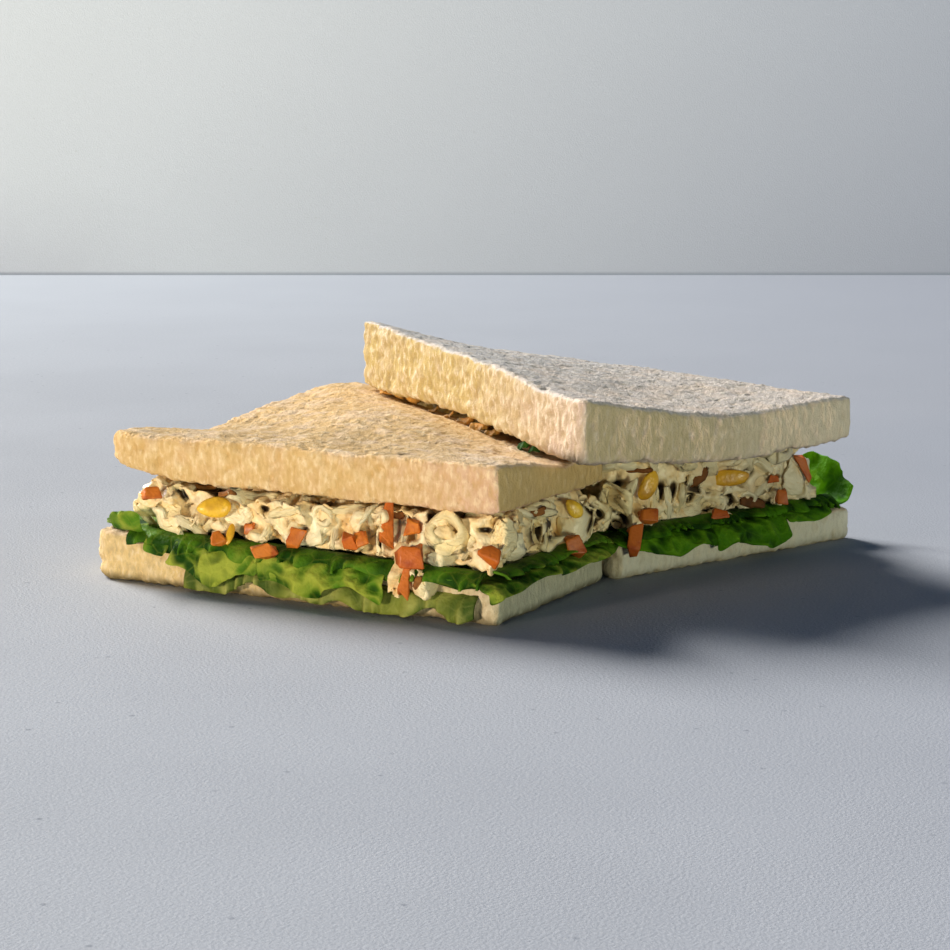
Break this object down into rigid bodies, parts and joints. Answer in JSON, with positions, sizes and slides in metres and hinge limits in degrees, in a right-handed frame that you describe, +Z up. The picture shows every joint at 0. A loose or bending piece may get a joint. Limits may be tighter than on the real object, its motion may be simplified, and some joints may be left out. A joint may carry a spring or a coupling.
{
  "type": "shredded chicken sandwich",
  "caption": "Crustless white bread sandwich cut in two, filled with shredded chicken, carrot and corn on lettuce, one top slice slid aside.",
  "frame": {"origin": "bottom centre of the whole sandwich's box, on the surface it rests on", "axes": "+X across the two halves, from the left half's cut side to the back of the right half; +Y along the slices, away from the near cut side; +Z up"},
  "size_m": [0.1572, 0.1448, 0.0504],
  "materials": {
    "bread": "matte",
    "filling": "moist",
    "lettuce": "satin"
  },
  "bodies": {
    "root": {"bread_bottom_left": "bread", "bread_bottom_right": "bread", "bread_top_left": "bread", "bread_top_right": "bread", "filling_left": "filling", "filling_right": "filling", "lettuce_left_1": "lettuce", "lettuce_left_2": "lettuce", "lettuce_left_3": "lettuce", "lettuce_left_4": "lettuce", "lettuce_left_5": "lettuce", "lettuce_left_6": "lettuce", "lettuce_right_1": "lettuce", "lettuce_right_2": "lettuce", "lettuce_right_3": "lettuce", "lettuce_right_4": "lettuce", "lettuce_right_5": "lettuce", "lettuce_right_6": "lettuce"}
  },
  "joints": []
}
